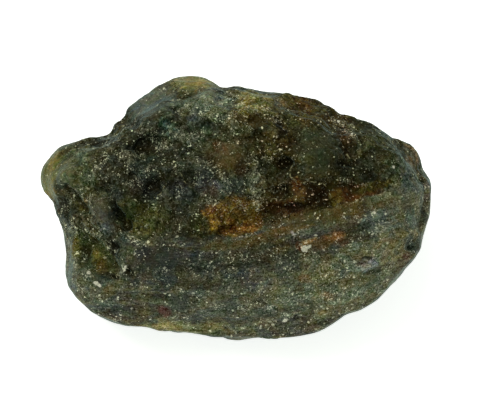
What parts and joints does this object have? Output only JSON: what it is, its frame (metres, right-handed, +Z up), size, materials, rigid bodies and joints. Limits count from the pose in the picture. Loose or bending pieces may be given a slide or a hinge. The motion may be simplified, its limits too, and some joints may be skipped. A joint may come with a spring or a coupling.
{
  "type": "raw tanzanite",
  "caption": "Rough tanzanite: a dark, water-worn crystal fragment with a ribbed prism face, a broken top, a knob and a flat cleavage to lie on.",
  "frame": {"origin": "middle of the bounding box's underside, on the surface that the stone lies on", "axes": "+X along the stone's length, towards the end with the thin slab; +Y towards the broken top; +Z up"},
  "size_m": [0.0302, 0.0222, 0.0136],
  "materials": {
    "tanzanite": "waxy to glassy, worn smooth on the ribbed face and granular on the broken top, dark olive brown"
  },
  "bodies": {
    "root": {"rough_crystal": "tanzanite"}
  },
  "joints": []
}
